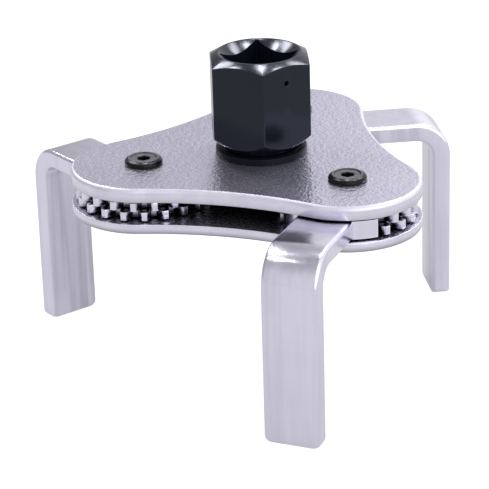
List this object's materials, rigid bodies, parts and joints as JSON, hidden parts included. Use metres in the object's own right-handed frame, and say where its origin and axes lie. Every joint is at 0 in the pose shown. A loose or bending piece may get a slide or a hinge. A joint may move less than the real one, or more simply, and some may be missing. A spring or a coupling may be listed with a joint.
{
  "type": "oil filter wrench",
  "caption": "Self-gripping oil filter wrench: a hex hub with a square drive hole turns gears between lobed plates and swings bent legs together onto the filter.",
  "frame": {"origin": "centre of the drive spindle's lower end face, on the drive axis", "axes": "+Z along the drive axis, towards the square drive hole; +X towards the first leg's pivot; the feet point to -Z"},
  "size_m": [0.0995, 0.0978, 0.072],
  "materials": {
    "plate_steel": "plated pressed steel, fine hammered grain, satin",
    "leg_chrome": "soft bright chrome over forged flat bar",
    "hub_black": "black oxide, satin",
    "washer_black": "black oxide, dull satin",
    "screw_black": "black zinc, semi-gloss",
    "sleeve_steel": "turned steel",
    "nut_zinc": "zinc plated",
    "spring_steel": "phosphated spring steel"
  },
  "bodies": {
    "housing": {"top_plate": "plate_steel", "bottom_plate": "plate_steel", "pivot_screw_1": "screw_black", "pivot_screw_2": "screw_black", "pivot_screw_3": "screw_black", "pivot_sleeve_1": "sleeve_steel", "pivot_sleeve_2": "sleeve_steel", "pivot_sleeve_3": "sleeve_steel", "pivot_nut_1": "nut_zinc", "pivot_nut_2": "nut_zinc", "pivot_nut_3": "nut_zinc"},
    "hub": {"drive_hub": "hub_black", "hub_washer": "washer_black", "thrust_washer": "spring_steel", "retaining_ring": "spring_steel", "sun_gear_lower": "hub_black", "sun_gear_upper": "hub_black"},
    "jaw_1": {"leg_1": "leg_chrome"},
    "jaw_2": {"leg_2": "leg_chrome"},
    "jaw_3": {"leg_3": "leg_chrome"}
  },
  "joints": [
    {"name": "hub_spin", "type": "hinge", "parent": "housing", "child": "hub", "pos_m": [0, 0, 0], "axis": [0, 0, 1], "range_deg": [-193, 47]},
    {"name": "leg_1_swing", "type": "hinge", "parent": "housing", "child": "jaw_1", "pos_m": [0.02755, 0, 0.008], "axis": [0, 0, 1], "range_deg": [-42.5, 174]},
    {"name": "leg_2_swing", "type": "hinge", "parent": "housing", "child": "jaw_2", "pos_m": [-0.01378, 0.02386, 0.008], "axis": [0, 0, 1], "range_deg": [-42.5, 174]},
    {"name": "leg_3_swing", "type": "hinge", "parent": "housing", "child": "jaw_3", "pos_m": [-0.01378, -0.02386, 0.008], "axis": [0, 0, 1], "range_deg": [-42.5, 174]}
  ],
  "couplings": [
    {"joint": "leg_1_swing", "follows": "hub_spin", "ratio": -0.9},
    {"joint": "leg_2_swing", "follows": "hub_spin", "ratio": -0.9},
    {"joint": "leg_3_swing", "follows": "hub_spin", "ratio": -0.9}
  ]
}
